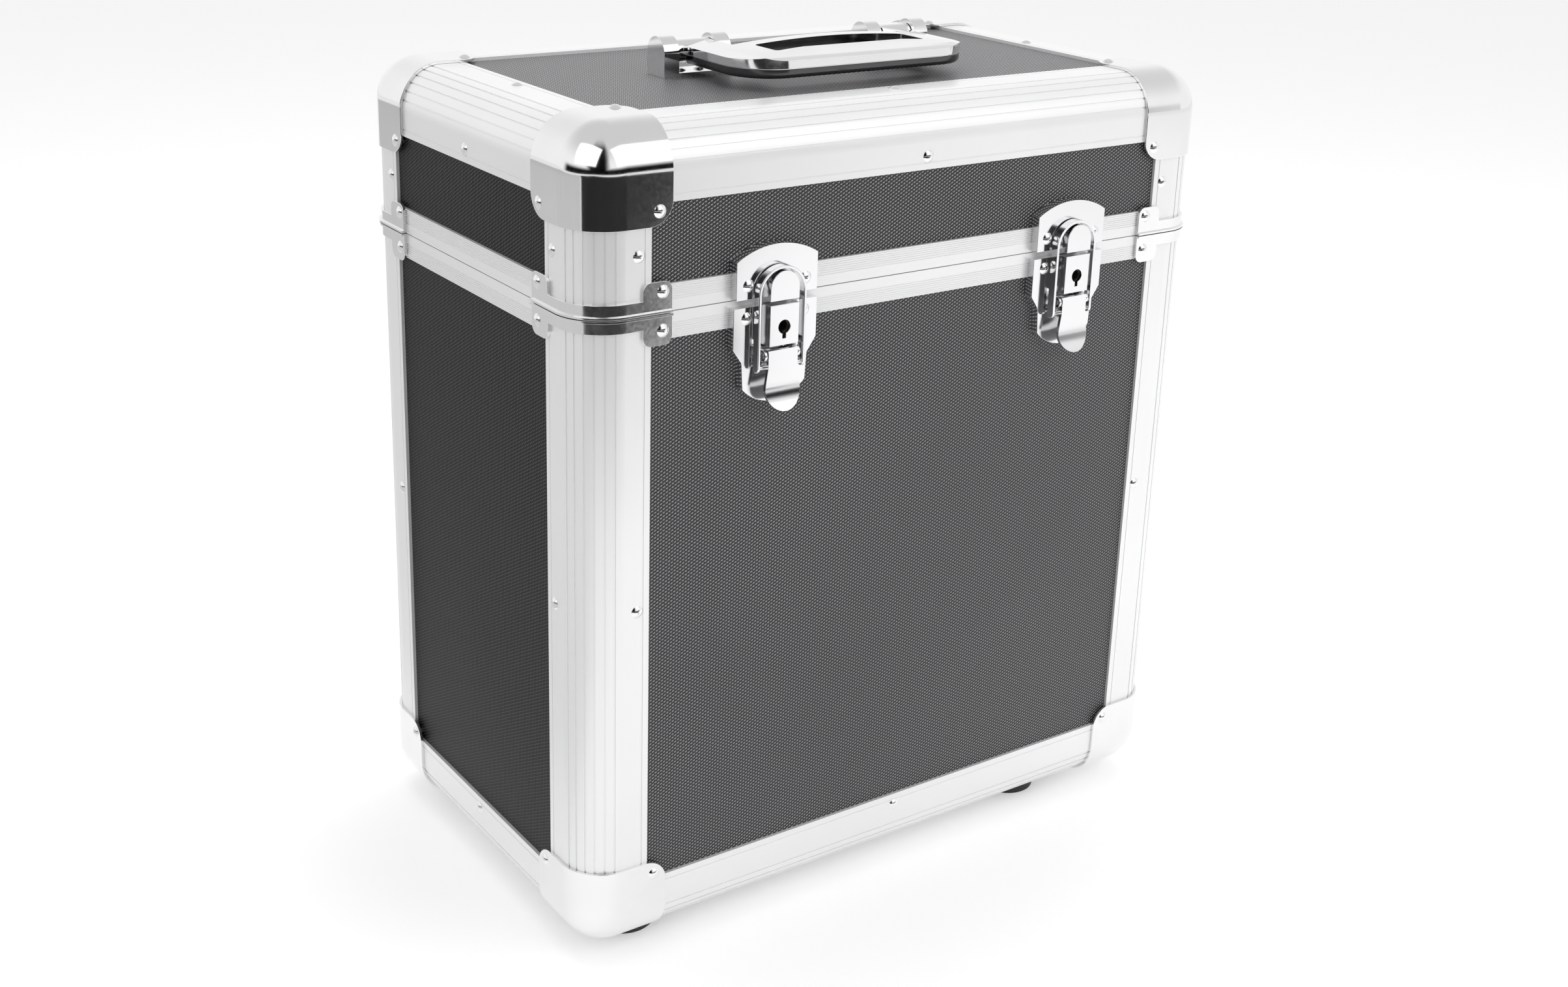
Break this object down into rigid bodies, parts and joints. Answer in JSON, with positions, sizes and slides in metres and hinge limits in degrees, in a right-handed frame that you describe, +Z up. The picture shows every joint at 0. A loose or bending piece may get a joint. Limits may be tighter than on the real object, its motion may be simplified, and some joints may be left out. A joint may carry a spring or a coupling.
{
  "type": "record carrying case",
  "caption": "Upright carrying case for twelve inch records with a hinged lid, draw latches with locks, a folding grip, edge profiles and ball corners.",
  "frame": {"origin": "on the surface that the case stands on, under the middle of its outline", "axes": "+Z up, +X to the right when the latches are looked at, the latched front faces -Y"},
  "size_m": [0.3604, 0.2374, 0.4101],
  "materials": {
    "embossed_board": "board faced with dark grey laminate embossed with fine raised dots, satin",
    "lining": "thin black felt",
    "aluminium_profile": "satin anodised extrusion with fine grooves",
    "ball_corner": "polished plated pressing",
    "chrome_fitting": "bright plated, slightly worn",
    "latch_chrome": "bright plated steel pressing",
    "handle_chrome": "bright plated casting",
    "steel_pin": "plain steel",
    "lock_core": "dark steel lock core",
    "rubber": "matte black rubber"
  },
  "bodies": {
    "body": {"body_front_panel": "embossed_board", "body_back_panel": "embossed_board", "body_left_panel": "embossed_board", "body_right_panel": "embossed_board", "body_bottom_panel": "embossed_board", "body_lining": "lining", "body_post_front_left": "aluminium_profile", "body_post_front_right": "aluminium_profile", "body_post_back_left": "aluminium_profile", "body_post_back_right": "aluminium_profile", "body_edge_front": "aluminium_profile", "body_edge_back": "aluminium_profile", "body_edge_left": "aluminium_profile", "body_edge_right": "aluminium_profile", "body_rim": "aluminium_profile", "body_cap_front_left": "ball_corner", "body_cap_front_right": "ball_corner", "body_cap_back_left": "ball_corner", "body_cap_back_right": "ball_corner", "body_corner_braces": "chrome_fitting", "body_rivets": "chrome_fitting", "rubber_feet": "rubber", "foot_screws": "steel_pin", "latch_base_left": "latch_chrome", "latch_base_right": "latch_chrome", "lever_pins": "steel_pin", "body_hinge_leaves": "latch_chrome", "hinge_pins": "steel_pin"},
    "lid": {"lid_top_panel": "embossed_board", "lid_front_panel": "embossed_board", "lid_back_panel": "embossed_board", "lid_left_panel": "embossed_board", "lid_right_panel": "embossed_board", "lid_lining": "lining", "lid_corner_posts": "aluminium_profile", "lid_edge_front": "aluminium_profile", "lid_edge_back": "aluminium_profile", "lid_edge_left": "aluminium_profile", "lid_edge_right": "aluminium_profile", "lid_rim": "aluminium_profile", "lid_cap_front_left": "ball_corner", "lid_cap_front_right": "ball_corner", "lid_cap_back_left": "ball_corner", "lid_cap_back_right": "ball_corner", "lid_corner_braces": "chrome_fitting", "lid_rivets": "chrome_fitting", "latch_strike_left": "latch_chrome", "latch_strike_right": "latch_chrome", "lid_hinge_leaves": "latch_chrome", "handle_brackets": "handle_chrome", "handle_pins": "steel_pin"},
    "handle": {"handle_top_shell": "handle_chrome", "handle_bottom_shell": "handle_chrome"},
    "lever_left": {"latch_lever_left": "latch_chrome"},
    "lever_right": {"latch_lever_right": "latch_chrome"},
    "bail_left": {"latch_bail_left": "latch_chrome"},
    "bail_right": {"latch_bail_right": "latch_chrome"},
    "lock_left": {"latch_lock_left": "lock_core"},
    "lock_right": {"latch_lock_right": "lock_core"}
  },
  "joints": [
    {"name": "lid_hinge", "type": "hinge", "parent": "body", "child": "lid", "pos_m": [0, 0.11317, 0.3135], "axis": [-1, 0, 0], "range_deg": [0, 105]},
    {"name": "handle_fold", "type": "hinge", "parent": "lid", "child": "handle", "pos_m": [0, 0.00367, 0.4025], "axis": [-1, 0, 0], "range_deg": [0, 100]},
    {"name": "lever_left_swing", "type": "hinge", "parent": "body", "child": "lever_left", "pos_m": [-0.084, -0.11233, 0.2889], "axis": [-1, 0, 0], "range_deg": [0, 105]},
    {"name": "bail_left_tilt", "type": "hinge", "parent": "lever_left", "child": "bail_left", "pos_m": [-0.084, -0.11183, 0.2834], "axis": [-1, 0, 0], "range_deg": [-116, 0]},
    {"name": "lock_left_turn", "type": "hinge", "parent": "body", "child": "lock_left", "pos_m": [-0.084, -0.10983, 0.3017], "axis": [0, -1, 0], "range_deg": [0, 90]},
    {"name": "lever_right_swing", "type": "hinge", "parent": "body", "child": "lever_right", "pos_m": [0.0875, -0.11233, 0.2889], "axis": [-1, 0, 0], "range_deg": [0, 105]},
    {"name": "bail_right_tilt", "type": "hinge", "parent": "lever_right", "child": "bail_right", "pos_m": [0.0875, -0.11183, 0.2834], "axis": [-1, 0, 0], "range_deg": [-116, 0]},
    {"name": "lock_right_turn", "type": "hinge", "parent": "body", "child": "lock_right", "pos_m": [0.0875, -0.10983, 0.3017], "axis": [0, -1, 0], "range_deg": [0, 90]}
  ],
  "couplings": [
    {"joint": "bail_left_tilt", "follows": "lever_left_swing", "ratio": -1.1},
    {"joint": "bail_right_tilt", "follows": "lever_right_swing", "ratio": -1.1}
  ]
}
